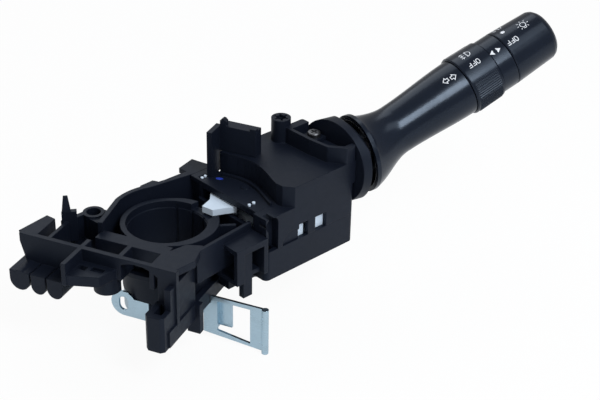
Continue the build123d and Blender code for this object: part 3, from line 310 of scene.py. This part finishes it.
def new_graph(name):
    material = bpy.data.materials.new(name)
    material.use_nodes = True
    return material, Graph(material.node_tree)


def moulded_black(name, colour):
    """Spark-textured black plastic: slow colour drift, fine grain and edges that catch the light."""
    material, g = new_graph(name)
    drift = g.noise(45.0, 3.0)
    fine = g.noise(2300.0, 2.0)
    scuff = g.noise(320.0, 4.0, roughness=0.7)
    tone = g.mix(drift * 0.8 + fine * 0.2, rgba(colour, 0.75), rgba(colour, 1.35))
    g.surface(Base_Color=tone, Roughness=0.46 + (scuff - 0.5) * 0.22 + (drift - 0.5) * 0.1,
              Normal=g.bump(0.16, 0.06 * MM, fine, edge=0.5 * MM),
              Specular_IOR_Level=0.19, Specular_Tint=COOL_SHEEN)
    return material


def smooth_black(name, colour):
    """The lever's satin black: nearly smooth, faint moulding waviness and hairline handling marks."""
    material, g = new_graph(name)
    drift = g.noise(60.0, 2.0)
    fine = g.noise(3800.0, 1.0)
    wear = g.noise(210.0, 5.0, roughness=0.65)
    tone = g.mix(drift, rgba(colour, 0.8), rgba(colour, 1.3))
    g.surface(Base_Color=tone, Roughness=0.21 + (wear - 0.5) * 0.12,
              Normal=g.bump(0.07, 0.03 * MM, fine + drift * 0.6, edge=0.3 * MM),
              Specular_IOR_Level=0.3, Specular_Tint=COOL_SHEEN)
    return material


def white_nylon(name, colour):
    """Unpainted nylon: slightly waxy, a little darker in its broad moulding marks."""
    material, g = new_graph(name)
    cloud = g.noise(140.0, 3.0)
    fine = g.noise(2600.0, 2.0)
    tone = g.mix(cloud, rgba(colour, 0.9), rgba(colour, 1.05))
    g.surface(Base_Color=tone, Roughness=0.42 + (cloud - 0.5) * 0.12,
              Normal=g.bump(0.08, 0.05 * MM, fine, edge=0.25 * MM))
    return material


def plated_metal(name, colour, rough, streak):
    """Plated metal with a cloudy finish. Strip and wire have streaks along their rolling direction."""
    material, g = new_graph(name)
    line = g.add("ShaderNodeMapping", {"vector_type": "POINT"},
                 {"Vector": g.place(), "Scale": (30.0, 30.0, 2600.0)})
    lines = g.add("ShaderNodeTexNoise", None, {"Vector": line, "Scale": 1.0, "Detail": 3.0})
    cloud = g.noise(110.0, 4.0)
    tone = g.mix(cloud, rgba(colour, 0.82), rgba(colour, 1.08))
    height = lines * 0.7 + cloud * 0.3 if streak else cloud
    g.surface(Base_Color=tone, Metallic=1.0,
              Roughness=rough + (lines - 0.5) * 0.18 + (cloud - 0.5) * 0.15,
              Normal=g.bump(0.12, 0.04 * MM, height, edge=0.2 * MM))
    return material


def coated_board(name):
    """Green solder resist over faint glass weave."""
    material, g = new_graph(name)
    weave = g.add("ShaderNodeTexVoronoi", None, {"Vector": g.place(), "Scale": 900.0})
    cloud = g.noise(160.0, 3.0)
    tone = g.mix(cloud, (0.012, 0.08, 0.035, 1.0), (0.02, 0.13, 0.055, 1.0))
    g.surface(Base_Color=tone, Roughness=0.34 + (cloud - 0.5) * 0.1, Normal=g.bump(0.1, 0.03 * MM, weave))
    return material


def pad_print(name, colour):
    """Pad-printed ink: matt, a touch thin in places."""
    material, g = new_graph(name)
    thin = g.noise(1500.0, 3.0)
    tone = g.mix(thin, rgba(colour, 0.82), rgba(colour, 1.0))
    g.surface(Base_Color=tone, Roughness=0.5 + (thin - 0.5) * 0.2)
    return material


# Shapes worked out on grids

def new_object(name, points, faces, material):
    """Links an object with an array of points and a list of faces."""
    mesh = bpy.data.meshes.new(name)
    mesh.from_pydata(points.reshape(-1, 3).tolist(), [], faces)
    mesh.update()
    mesh.materials.append(material)
    piece = bpy.data.objects.new(name, mesh)
    bpy.context.scene.collection.objects.link(piece)
    return piece


def mesh_object(name, points, faces, material, body):
    """Puts arrays of points and faces into a mesh that rides on a body."""
    piece = new_object(name, points, faces.tolist(), material)
    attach(piece, body)


def grid_faces(rows, columns):
    """Quads of a grid whose points run row by row."""
    r, c = np.meshgrid(np.arange(rows - 1), np.arange(columns - 1), indexing="ij")
    a = (r * columns + c).ravel()
    return np.stack([a, a + 1, a + columns + 1, a + columns], axis=1)


def lever_radius(along):
    """The lever's outer radius in metres at distances along it in millimetres."""
    return np.interp(along, LEVER_PROFILE[:, 0], LEVER_PROFILE[:, 1]) * MM


def on_lever(along, angle, lift):
    """A point at a distance along the lever (mm) and an angle from its top towards the driver's side.

    The point is the flare's centre, plus the distance times the lever's direction, plus the radius and
    the lift times a unit vector that turns from the upward to the sideways direction.
    """
    along, angle = np.asarray(along, float), np.asarray(angle, float)
    radial = np.cos(angle)[..., None] * OVER + np.sin(angle)[..., None] * SIDE
    return FLARE + (along * MM)[..., None] * ALONG + (lever_radius(along) + lift)[..., None] * radial


def unit(vectors):
    return vectors / np.maximum(np.linalg.norm(vectors, axis=1), 1e-9)[:, None]


def ribbon(path, width, closed=False):
    """A flat strip along a 2D path.

    Each point is moved by half the width to both sides of the mean direction, and further at a corner,
    by one over the cosine of half its turn.
    """
    path = np.asarray(path, float)
    if closed:
        ahead, behind = np.roll(path, -1, 0) - path, path - np.roll(path, 1, 0)
    else:
        step = np.diff(path, axis=0)
        ahead, behind = np.vstack([step, step[-1:]]), np.vstack([step[:1], step])
    second = unit(ahead)
    mean = unit(unit(behind) + second)
    reach = 1.0 / np.maximum((mean * second).sum(1), 0.5)
    normal = np.stack([-mean[:, 1], mean[:, 0]], 1) * (reach * width / 2)[:, None]
    points = np.stack([path - normal, path + normal], 1)
    if closed:
        points = np.concatenate([points, points[:1]], 0)
    return points.reshape(-1, 2), grid_faces(len(points), 2)


def refine(points, longest=MARK_STEP):
    """Adds points along a polyline so that no step is longer than the given length."""
    points = np.asarray(points, float)
    pieces = []
    for a, b in zip(points[:-1], points[1:]):
        n = max(1, int(math.ceil(np.linalg.norm(b - a) / longest)))
        pieces.append(a + (b - a) * np.linspace(0, 1, n, endpoint=False)[:, None])
    return np.vstack(pieces + [points[-1:]])


def filled(outline):
    """A flat shape as a fan from its middle to its outline."""
    outline = np.asarray(outline, float)
    points = np.vstack([outline.mean(0), outline])
    n = len(outline)
    ring = np.arange(n)
    faces = np.stack([np.zeros(n, int), ring + 1, np.roll(ring, -1) + 1], 1)
    return points, faces


def ellipse(half, count=28):
    """Points round a whole ellipse about the origin."""
    t = np.linspace(0, 2 * math.pi, count, endpoint=False)
    return np.stack([half[0] * np.cos(t), half[1] * np.sin(t)], 1)


def print_on_lever(name, shapes, material, body):
    """Lays flat shapes on the lever: text runs towards the housing and its tops face the driver's side."""
    along, degrees = MARK_PLACES[name]
    radius = float(lever_radius(along))
    all_points, all_faces, count = [], [], 0
    for points, faces in shapes:
        turn = math.radians(degrees) + points[:, 1] * MM / radius
        all_points.append(on_lever(along - points[:, 0], turn, PRINT_LIFT))
        all_faces += (faces + count).tolist()
        count += len(points)
    piece = new_object(name, np.vstack(all_points), all_faces, material)
    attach(piece, body)


def letter_shapes(word, height, stroke):
    """Stroke letters O and F as ribbons, centred on the word's middle, in millimetres."""
    width, gap = height * LETTER_WIDTH, height * LETTER_GAP
    step = width + gap
    start = -(len(word) * step - gap) / 2
    shapes = []
    for n, letter in enumerate(word):
        x = start + n * step
        if letter == "O":
            t = np.linspace(0, 2 * math.pi, O_STEPS + 1)[:-1]
            c, s = np.cos(t), np.sin(t)
            path = np.stack([x + width / 2 + width / 2 * np.sign(c) * np.abs(c) ** ROUNDNESS,
                             height / 2 * np.sign(s) * np.abs(s) ** ROUNDNESS], 1)
            shapes.append(ribbon(path, stroke, closed=True))
        else:
            left, top, middle = x + stroke / 2, height / 2 - stroke / 2, SHORT_BAR_LEVEL * height
            shapes.append(ribbon(refine([[x, -height / 2], [x, height / 2]]), stroke))
            shapes.append(ribbon(refine([[left, top], [x + width, top]]), stroke))
            shapes.append(ribbon(refine([[left, middle], [x + width * SHORT_BAR, middle]]), stroke))
    return shapes


def lamp_shapes(stroke):
    """A lamp: a ring, its rays and a small foot."""
    shapes = [ribbon(ellipse((LAMP_RADIUS, LAMP_RADIUS)), stroke, closed=True)]
    for turn in np.radians(LAMP_RAYS):
        d = np.array([math.cos(turn), math.sin(turn)])
        shapes.append(ribbon(refine([d * RAY_START, d * RAY_END]), stroke))
    shapes.append(ribbon(LAMP_FOOT, stroke * SMALL_STROKE, closed=True))
    return shapes


def fog_shapes(stroke):
    """A rear fog lamp: a half-round lamp and three level beams that a wavy line crosses."""
    t = math.pi / 2 + np.linspace(0, math.pi, FOG_POINTS)
    half = np.stack([FOG_FLAT + FOG_HALF[0] * np.cos(t), FOG_HALF[1] * np.sin(t)], 1)
    flat = refine([[FOG_FLAT, -FOG_HALF[1]], [FOG_FLAT, FOG_HALF[1]]])[:-1]
    shapes = [ribbon(np.vstack([half[:-1], flat]), stroke, closed=True)]
    for y in (-BEAM_PITCH, 0.0, BEAM_PITCH):
        shapes.append(ribbon(refine([[BEAM_START, y], [BEAM_END, y]]), stroke * SMALL_STROKE))
    y = np.linspace(-WAVE_HALF, WAVE_HALF, WAVE_POINTS)
    wave = WAVE_MIDDLE + WAVE_SWING * np.sin(y * WAVE_RATE)
    shapes.append(ribbon(np.stack([wave, y], 1), stroke * WAVE_STROKE))
    return shapes


def arrow_shapes(direction, stroke):
    """A hollow block arrow along the text direction (1) or against it (-1)."""
    outline = np.array(ARROW)
    outline[:, 0] *= direction
    closed = refine(np.vstack([outline, outline[:1]]), ARROW_STEP)[:-1]
    return [ribbon(closed[::direction], stroke, closed=True)]


def in_case(h, p, z):
    """A point given along and across the housing, in metres."""
    return np.array([h * math.cos(HOUSING_TURN) + p * math.sin(HOUSING_TURN),
                     h * math.sin(HOUSING_TURN) - p * math.cos(HOUSING_TURN), z]) * MM


BLACK_NODES = ("bracket_frame", "switch_case", "switch_cover", "lower_cover", "guide_tower",
               "connector_shroud", "collar_ring")
LEVER_NODES = ("lever_body", "lever_arm", "fog_ring", "index_sleeve", "end_knob")
NYLON_NODES = ("cancel_pawl", "turn_slider", "dimmer_slider", "turn_yoke", "detent_cam", "cover_pins")
STEEL_NODES = ("dimmer_pin", "detent_plunger", "plunger_spring", "lever_rod", "detent_balls",
               "detent_springs", "pawl_pin", "pawl_spring")
SCREW_NODES = ("collar_screw", "case_screws", "bracket_screws")
COPPER_NODES = ("board_contacts", "contact_discs", "ring_wiper", "slider_contact", "dimmer_contact")
# Nodes, material, colour, roughness and whether it is streaked
METALS = (
    (STEEL_NODES, "spring_steel", (0.5, 0.51, 0.53), 0.32, True),
    (SCREW_NODES, "screw_steel", (0.16, 0.165, 0.175), 0.4, False),
    (COPPER_NODES, "contact_copper", (0.72, 0.42, 0.22), 0.3, True),
    (("terminal_pins",), "tinned_pin", (0.7, 0.7, 0.69), 0.28, True),
)


def finish_nodes(names, material):
    for name in names:
        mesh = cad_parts[name].data
        mesh.materials.clear()
        mesh.materials.append(material)


class SWITCH_OT_moulded_parts(bpy.types.Operator):
    """Gives the bracket, housing and collar their textured black"""
    bl_idname = "switch.moulded_parts"
    bl_label = "Moulded Parts"

    def execute(self, context):
        finish_nodes(BLACK_NODES, moulded_black("moulded_black", colours().bracket_black))
        return {"FINISHED"}


class SWITCH_OT_lever_parts(bpy.types.Operator):
    """Gives the lever, ring, sleeve and knob their satin black"""
    bl_idname = "switch.lever_parts"
    bl_label = "Lever Parts"

    def execute(self, context):
        finish_nodes(LEVER_NODES, smooth_black("lever_black", colours().lever_black))
        return {"FINISHED"}


class SWITCH_OT_nylon_parts(bpy.types.Operator):
    """Gives the pawl, sliders, yoke, cam and stakes their white nylon"""
    bl_idname = "switch.nylon_parts"
    bl_label = "Nylon Parts"

    def execute(self, context):
        finish_nodes(NYLON_NODES, white_nylon("white_nylon", colours().nylon_white))
        return {"FINISHED"}


class SWITCH_OT_metal_parts(bpy.types.Operator):
    """Gives the clamp band, springs, pins, screws and contacts their metals, and the board its green"""
    bl_idname = "switch.metal_parts"
    bl_label = "Metal Parts"

    def execute(self, context):
        finish_nodes(("clamp_band",), plated_metal("zinc_plate", colours().zinc, 0.3, streak=True))
        for names, material, colour, rough, streak in METALS:
            finish_nodes(names, plated_metal(material, colour, rough, streak))
        finish_nodes(("contact_board",), coated_board("coated_board"))
        return {"FINISHED"}


class SWITCH_OT_ring_grip(bpy.types.Operator):
    """Adds the two bands of fine ribs round the turning ring"""
    bl_idname = "switch.ring_grip"
    bl_label = "Ring Grip"

    def execute(self, context):
        height, pitch = sizes().rib_height, sizes().rib_pitch
        material = smooth_black("grip_black", colours().lever_black)
        rows = np.linspace(GRIP_START + GRIP_FADE, GRIP_END - GRIP_FADE, GRIP_ROWS)
        along = np.concatenate([[GRIP_START], rows, [GRIP_END]])
        columns = int(2 * GRIP_HALF / pitch * STEPS_PER_RIB) + 1
        for n, middle in enumerate(GRIP_MIDDLES):
            angle = np.linspace(middle - GRIP_HALF, middle + GRIP_HALF, columns)
            a, t = np.meshgrid(along, angle, indexing="ij")
            # The lift is a cosine of the angle, faded to below the ring's skin at all four borders.
            wave = 0.5 + 0.5 * np.cos((t - middle) / pitch * 2 * math.pi)
            ends = np.minimum(a - GRIP_START, GRIP_END - a) / GRIP_FADE
            sides = (GRIP_HALF - np.abs(t - middle)) / (pitch * RIB_FADE)
            border = np.clip(np.minimum(ends, sides), 0, 1)
            lift = border * (RIB_FOOT + wave * height) - GRIP_SINK
            mesh_object(f"ring_grip_{n + 1}", on_lever(a, t, lift), grid_faces(*a.shape), material,
                        "fog_ring")
        return {"FINISHED"}


class SWITCH_OT_knob_marks(bpy.types.Operator):
    """Prints the two lamps, dot and OFF on the end knob"""
    bl_idname = "switch.knob_marks"
    bl_label = "Knob Marks"

    def execute(self, context):
        ink = pad_print("print_white", colours().print_white)
        stroke, height = sizes().stroke / MM, sizes().letter_height / MM
        print_on_lever("knob_off", letter_shapes("OFF", height, stroke), ink, "end_knob")
        print_on_lever("knob_lamp", lamp_shapes(stroke * LAMP_STROKE), ink, "end_knob")
        print_on_lever("knob_dot", [filled(ellipse(DOT_HALF))], ink, "end_knob")
        print_on_lever("knob_side_lamp", fog_shapes(stroke * SMALL_STROKE), ink, "end_knob")
        return {"FINISHED"}


class SWITCH_OT_ring_marks(bpy.types.Operator):
    """Prints the rear fog lamp and OFF on the turning ring"""
    bl_idname = "switch.ring_marks"
    bl_label = "Ring Marks"

    def execute(self, context):
        ink = pad_print("ring_print", colours().print_white)
        stroke, height = sizes().stroke / MM, sizes().letter_height / MM
        print_on_lever("ring_off", letter_shapes("OFF", height, stroke), ink, "fog_ring")
        print_on_lever("ring_fog", fog_shapes(stroke), ink, "fog_ring")
        return {"FINISHED"}


class SWITCH_OT_index_marks(bpy.types.Operator):
    """Prints the two index triangles on the sleeve and the turn arrows on the lever"""
    bl_idname = "switch.index_marks"
    bl_label = "Index Marks"

    def execute(self, context):
        ink = pad_print("index_print", colours().print_white)
        to_knob = np.array(TRIANGLE)
        to_ring = to_knob * [-1, 1]
        print_on_lever("index_to_knob", [filled(to_knob)], ink, "lever")
        print_on_lever("index_to_ring", [filled(to_ring)], ink, "lever")
        stroke = sizes().stroke / MM
        print_on_lever("turn_arrow_left", arrow_shapes(1, stroke), ink, "lever")
        print_on_lever("turn_arrow_right", arrow_shapes(-1, stroke), ink, "lever")
        return {"FINISHED"}


class SWITCH_OT_paint_dot(bpy.types.Operator):
    """Adds the small blue inspection dot on the lower cover"""
    bl_idname = "switch.paint_dot"
    bl_label = "Paint Dot"

    def execute(self, context):
        # The dot's height falls off with the square of the distance from its middle, and its rim is a
        # circle with two waves: one of 12 percent, twice round, and one of 5 percent, five times round.
        r, t = np.meshgrid(np.linspace(0, 1, PAINT_RINGS), np.linspace(0, 2 * math.pi, PAINT_SPOKES),
                           indexing="ij")
        rim = 1.0 + 0.12 * np.sin(2 * t + 0.6) + 0.05 * np.sin(5 * t)
        x, y, z = in_case(*PAINT_PLACE)
        points = np.stack([x + r * rim * np.cos(t) * PAINT_HALF[0],
                           y + r * rim * np.sin(t) * PAINT_HALF[1],
                           z + PAINT_HEIGHT * (1 - r ** 2) - PAINT_SINK], -1)
        paint = pad_print("paint_blue", colours().paint_blue)
        mesh_object("paint_dot", points, grid_faces(*r.shape), paint, "housing")
        return {"FINISHED"}


# Stage

def camera_matrix():
    """The camera's place: the bore's middle stands at its pixel and distance in the turned view."""
    e, p, r = CAMERA_ELEVATION, CAMERA_TURN, CAMERA_ROLL
    right = np.array([1.0, 0.0, 0.0])
    up = np.array([0.0, math.sin(e), math.cos(e)])
    ahead = np.array([0.0, math.cos(e), -math.sin(e)])
    turned_right = math.cos(r) * right + math.sin(r) * up
    turned_up = -math.sin(r) * right + math.cos(r) * up
    world = np.array([[math.cos(p), math.sin(p), 0], [-math.sin(p), math.cos(p), 0], [0, 0, 1]])
    axes = np.array([turned_right, turned_up, ahead]) @ world.T
    bore = np.array([(BORE_PIXEL[0] - PHOTO_SIZE[0] / 2) / FOCAL_PX,
                     -(BORE_PIXEL[1] - PHOTO_SIZE[1] / 2) / FOCAL_PX, 1]) * BORE_DISTANCE
    return placed(axes[0], axes[1], -axes[2], -axes.T @ bore * MM)


def placed(x, y, z, place):
    """The matrix of an object with the given axes and place."""
    matrix = np.eye(4)
    matrix[:3, 0], matrix[:3, 1], matrix[:3, 2], matrix[:3, 3] = x, y, z, place
    return Matrix(matrix.tolist())


def add_floor():
    """A pale floor that is white to the camera, apart from the object's shadow."""
    # The floor is a very shallow bowl: its height grows with the fourth power of the distance.
    r, t = np.meshgrid(np.linspace(0, FLOOR_RADIUS, FLOOR_RINGS),
                       np.linspace(0, 2 * math.pi, FLOOR_SPOKES), indexing="ij")
    low = float(CAD_BOX[0][2]) - FLOOR_GAP
    points = np.stack([FLOOR_MIDDLE[0] + r * np.cos(t), FLOOR_MIDDLE[1] + r * np.sin(t),
                       low + FLOOR_RISE * (r / FLOOR_RADIUS) ** 4], -1)
    material, g = new_graph("pale_floor")
    seen = g.add("ShaderNodeLightPath", out=CAMERA_RAY)
    mirrored = g.add("ShaderNodeLightPath", out=GLOSSY_RAY)
    matt = g.add("ShaderNodeBsdfDiffuse", None, {"Color": FLOOR_GREY})
    glow = g.add("ShaderNodeEmission", None, {"Color": WHITE, "Strength": 1.0})
    share = seen * FLOOR_GLOW_SEEN + mirrored * FLOOR_GLOW_MIRRORED
    mixed = g.add("ShaderNodeMixShader", None, {0: share, 1: matt, 2: glow})
    g.add("ShaderNodeOutputMaterial", None, {"Surface": mixed})
    floor = new_object("floor", points, grid_faces(*r.shape).tolist(), material)


def add_world(scene):
    """A world that is white to the camera and lights the object at a plain level."""
    world = bpy.data.worlds.new("studio")
    scene.world = world
    world.use_nodes = True
    g = Graph(world.node_tree)
    seen = g.add("ShaderNodeLightPath", out=CAMERA_RAY)
    mirrored = g.add("ShaderNodeLightPath", out=GLOSSY_RAY)
    strength = seen.at_least(mirrored * WORLD_MIRRORED).at_least(WORLD_LEVEL)
    sky = g.add("ShaderNodeBackground", None, {"Color": WHITE, "Strength": strength})
    g.add("ShaderNodeOutputWorld", None, {"Surface": sky})


def add_lamp(scene, name, place, target, size, power):
    """A rectangular soft lamp that points at a target."""
    light = bpy.data.lights.new(name, "AREA")
    light.shape, light.size, light.size_y = "RECTANGLE", size[0], size[1]
    light.energy, light.color = power, LAMP_TINT
    lamp = bpy.data.objects.new(name, light)
    scene.collection.objects.link(lamp)
    z = np.array(place) - np.array(target)
    z = z / np.linalg.norm(z)
    x = np.cross([0.0, 1.0, 0.01], z)
    x = x / np.linalg.norm(x)
    lamp.matrix_world = placed(x, np.cross(z, x), z, place)


def add_camera(scene):
    camera = bpy.data.cameras.new("photo_view")
    camera.sensor_width = SENSOR_WIDTH
    camera.lens = SENSOR_WIDTH * FOCAL_PX / PHOTO_SIZE[0]
    camera.clip_start, camera.clip_end = 0.01, 20.0
    view = bpy.data.objects.new("photo_view", camera)
    scene.collection.objects.link(view)
    view.matrix_world = camera_matrix()
    scene.camera = view


class SWITCH_OT_studio(bpy.types.Operator):
    """Sets up the white floor and world, the soft lamps and the camera"""
    bl_idname = "switch.studio"
    bl_label = "Studio"

    def execute(self, context):
        scene = context.scene
        scene.view_settings.view_transform = "Standard"
        add_floor()
        add_world(scene)
        for lamp in LAMPS:
            add_lamp(scene, *lamp)
        add_camera(scene)
        return {"FINISHED"}


class SWITCH_PT_panel(bpy.types.Panel):
    """Lists the steps that dress the switch"""
    bl_label = "Stalk Switch"
    bl_idname = "SWITCH_PT_panel"
    bl_space_type = "VIEW_3D"
    bl_region_type = "UI"
    bl_category = "Stalk Switch"

    def draw(self, context):
        layout = self.layout
        for operator in OPERATORS:
            layout.operator(operator.bl_idname)
        for name in SIZE_NAMES:
            layout.prop(context.scene.switch_sizes, name)
        for name in COLOUR_NAMES:
            layout.prop(context.scene.switch_colours, name)


OPERATORS = (SWITCH_OT_moulded_parts, SWITCH_OT_lever_parts, SWITCH_OT_nylon_parts, SWITCH_OT_metal_parts,
             SWITCH_OT_ring_grip, SWITCH_OT_knob_marks, SWITCH_OT_ring_marks, SWITCH_OT_index_marks,
             SWITCH_OT_paint_dot, SWITCH_OT_studio)
CLASSES = (SwitchSizes, SwitchColours) + OPERATORS + (SWITCH_PT_panel,)


def register():
    for item in CLASSES:
        bpy.utils.register_class(item)
    bpy.types.Scene.switch_sizes = bpy.props.PointerProperty(type=SwitchSizes)
    bpy.types.Scene.switch_colours = bpy.props.PointerProperty(type=SwitchColours)


def unregister():
    del bpy.types.Scene.switch_colours
    del bpy.types.Scene.switch_sizes
    for item in reversed(CLASSES):
        bpy.utils.unregister_class(item)


def main():
    register()
    for operator in OPERATORS:
        group, name = operator.bl_idname.split(".")
        getattr(getattr(bpy.ops, group), name)()


if __name__ == "__main__":
    main()
